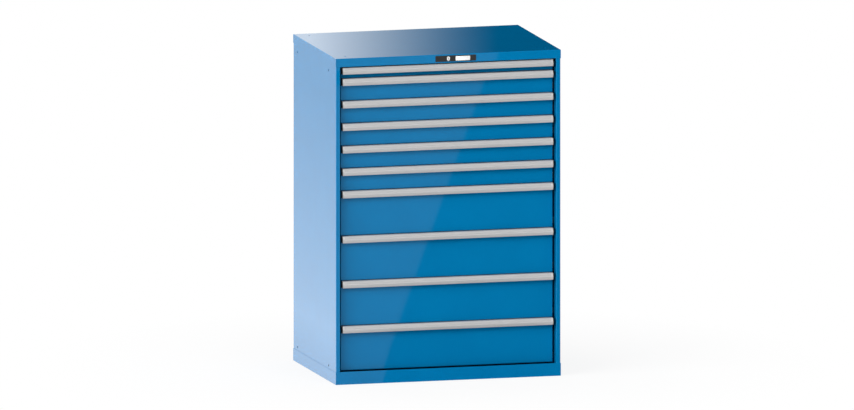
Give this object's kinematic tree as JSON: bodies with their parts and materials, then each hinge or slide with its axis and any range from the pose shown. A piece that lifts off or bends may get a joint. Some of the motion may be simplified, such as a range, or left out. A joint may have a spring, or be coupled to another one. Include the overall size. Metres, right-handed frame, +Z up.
{
  "type": "multi-drawer cabinet",
  "caption": "Floor-standing industrial cabinet with a stack of full-width drawers on full-extension slides, through-going handle strips and a central lock.",
  "frame": {"origin": "middle of the plinth's footprint, on the floor", "axes": "+Z up, -Y out of the drawer fronts, +X to the right as seen from the front"},
  "size_m": [1.023, 0.7265, 1.45],
  "materials": {
    "housing_paint": "smooth semi-gloss powder coat",
    "tray_paint": "fine satin powder coat",
    "aluminium": "satin anodised extrusion",
    "black_plastic": "fine grained moulding",
    "dark_plastic": "fine grained moulding",
    "zinc_steel": "zinc plated sheet",
    "nickel": "nickel plated, turned"
  },
  "bodies": {
    "housing": {"base_plinth": "housing_paint", "top_cover": "housing_paint", "left_side_wall": "housing_paint", "right_side_wall": "housing_paint", "rear_wall": "housing_paint", "rail_uprights": "housing_paint", "cabinet_rails": "zinc_steel", "lock_plate": "dark_plastic"},
    "drawer_01": {"drawer_01_tray": "tray_paint", "drawer_01_front": "housing_paint", "drawer_01_handle": "aluminium", "drawer_01_caps": "black_plastic"},
    "carriages_01": {"drawer_01_carriages": "zinc_steel"},
    "drawer_02": {"drawer_02_tray": "tray_paint", "drawer_02_front": "housing_paint", "drawer_02_handle": "aluminium", "drawer_02_caps": "black_plastic"},
    "carriages_02": {"drawer_02_carriages": "zinc_steel"},
    "drawer_03": {"drawer_03_tray": "tray_paint", "drawer_03_front": "housing_paint", "drawer_03_handle": "aluminium", "drawer_03_caps": "black_plastic"},
    "carriages_03": {"drawer_03_carriages": "zinc_steel"},
    "drawer_04": {"drawer_04_tray": "tray_paint", "drawer_04_front": "housing_paint", "drawer_04_handle": "aluminium", "drawer_04_caps": "black_plastic"},
    "carriages_04": {"drawer_04_carriages": "zinc_steel"},
    "drawer_05": {"drawer_05_tray": "tray_paint", "drawer_05_front": "housing_paint", "drawer_05_handle": "aluminium", "drawer_05_caps": "black_plastic"},
    "carriages_05": {"drawer_05_carriages": "zinc_steel"},
    "drawer_06": {"drawer_06_tray": "tray_paint", "drawer_06_front": "housing_paint", "drawer_06_handle": "aluminium", "drawer_06_caps": "black_plastic"},
    "carriages_06": {"drawer_06_carriages": "zinc_steel"},
    "drawer_07": {"drawer_07_tray": "tray_paint", "drawer_07_front": "housing_paint", "drawer_07_handle": "aluminium", "drawer_07_caps": "black_plastic"},
    "carriages_07": {"drawer_07_carriages": "zinc_steel"},
    "drawer_08": {"drawer_08_tray": "tray_paint", "drawer_08_front": "housing_paint", "drawer_08_handle": "aluminium", "drawer_08_caps": "black_plastic"},
    "carriages_08": {"drawer_08_carriages": "zinc_steel"},
    "drawer_09": {"drawer_09_tray": "tray_paint", "drawer_09_front": "housing_paint", "drawer_09_handle": "aluminium", "drawer_09_caps": "black_plastic"},
    "carriages_09": {"drawer_09_carriages": "zinc_steel"},
    "drawer_10": {"drawer_10_tray": "tray_paint", "drawer_10_front": "housing_paint", "drawer_10_handle": "aluminium", "drawer_10_caps": "black_plastic"},
    "carriages_10": {"drawer_10_carriages": "zinc_steel"},
    "locking_bar": {"locking_bar": "housing_paint"},
    "lock_cylinder": {"lock_cylinder": "nickel"}
  },
  "joints": [
    {"name": "drawer_01_slide", "type": "slide", "parent": "housing", "child": "drawer_01", "axis": [0, -1, 0], "range_m": [0, 0.62]},
    {"name": "carriages_01_slide", "type": "slide", "parent": "housing", "child": "carriages_01", "axis": [0, -1, 0], "range_m": [0, 0.31]},
    {"name": "drawer_02_slide", "type": "slide", "parent": "housing", "child": "drawer_02", "axis": [0, -1, 0], "range_m": [0, 0.62]},
    {"name": "carriages_02_slide", "type": "slide", "parent": "housing", "child": "carriages_02", "axis": [0, -1, 0], "range_m": [0, 0.31]},
    {"name": "drawer_03_slide", "type": "slide", "parent": "housing", "child": "drawer_03", "axis": [0, -1, 0], "range_m": [0, 0.62]},
    {"name": "carriages_03_slide", "type": "slide", "parent": "housing", "child": "carriages_03", "axis": [0, -1, 0], "range_m": [0, 0.31]},
    {"name": "drawer_04_slide", "type": "slide", "parent": "housing", "child": "drawer_04", "axis": [0, -1, 0], "range_m": [0, 0.62]},
    {"name": "carriages_04_slide", "type": "slide", "parent": "housing", "child": "carriages_04", "axis": [0, -1, 0], "range_m": [0, 0.31]},
    {"name": "drawer_05_slide", "type": "slide", "parent": "housing", "child": "drawer_05", "axis": [0, -1, 0], "range_m": [0, 0.62]},
    {"name": "carriages_05_slide", "type": "slide", "parent": "housing", "child": "carriages_05", "axis": [0, -1, 0], "range_m": [0, 0.31]},
    {"name": "drawer_06_slide", "type": "slide", "parent": "housing", "child": "drawer_06", "axis": [0, -1, 0], "range_m": [0, 0.62]},
    {"name": "carriages_06_slide", "type": "slide", "parent": "housing", "child": "carriages_06", "axis": [0, -1, 0], "range_m": [0, 0.31]},
    {"name": "drawer_07_slide", "type": "slide", "parent": "housing", "child": "drawer_07", "axis": [0, -1, 0], "range_m": [0, 0.62]},
    {"name": "carriages_07_slide", "type": "slide", "parent": "housing", "child": "carriages_07", "axis": [0, -1, 0], "range_m": [0, 0.31]},
    {"name": "drawer_08_slide", "type": "slide", "parent": "housing", "child": "drawer_08", "axis": [0, -1, 0], "range_m": [0, 0.62]},
    {"name": "carriages_08_slide", "type": "slide", "parent": "housing", "child": "carriages_08", "axis": [0, -1, 0], "range_m": [0, 0.31]},
    {"name": "drawer_09_slide", "type": "slide", "parent": "housing", "child": "drawer_09", "axis": [0, -1, 0], "range_m": [0, 0.62]},
    {"name": "carriages_09_slide", "type": "slide", "parent": "housing", "child": "carriages_09", "axis": [0, -1, 0], "range_m": [0, 0.31]},
    {"name": "drawer_10_slide", "type": "slide", "parent": "housing", "child": "drawer_10", "axis": [0, -1, 0], "range_m": [0, 0.62]},
    {"name": "carriages_10_slide", "type": "slide", "parent": "housing", "child": "carriages_10", "axis": [0, -1, 0], "range_m": [0, 0.31]},
    {"name": "locking_bar_slide", "type": "slide", "parent": "housing", "child": "locking_bar", "axis": [0, 0, 1], "range_m": [0, 0.0127]},
    {"name": "lock_turn", "type": "hinge", "parent": "housing", "child": "lock_cylinder", "pos_m": [0, -0.3625, 1.431], "axis": [0, 1, 0], "range_deg": [0, 90]}
  ],
  "couplings": [
    {"joint": "carriages_01_slide", "follows": "drawer_01_slide", "ratio": 0.5},
    {"joint": "carriages_02_slide", "follows": "drawer_02_slide", "ratio": 0.5},
    {"joint": "carriages_03_slide", "follows": "drawer_03_slide", "ratio": 0.5},
    {"joint": "carriages_04_slide", "follows": "drawer_04_slide", "ratio": 0.5},
    {"joint": "carriages_05_slide", "follows": "drawer_05_slide", "ratio": 0.5},
    {"joint": "carriages_06_slide", "follows": "drawer_06_slide", "ratio": 0.5},
    {"joint": "carriages_07_slide", "follows": "drawer_07_slide", "ratio": 0.5},
    {"joint": "carriages_08_slide", "follows": "drawer_08_slide", "ratio": 0.5},
    {"joint": "carriages_09_slide", "follows": "drawer_09_slide", "ratio": 0.5},
    {"joint": "carriages_10_slide", "follows": "drawer_10_slide", "ratio": 0.5},
    {"joint": "lock_turn", "follows": "locking_bar_slide", "rad_per_m": 123.4}
  ]
}
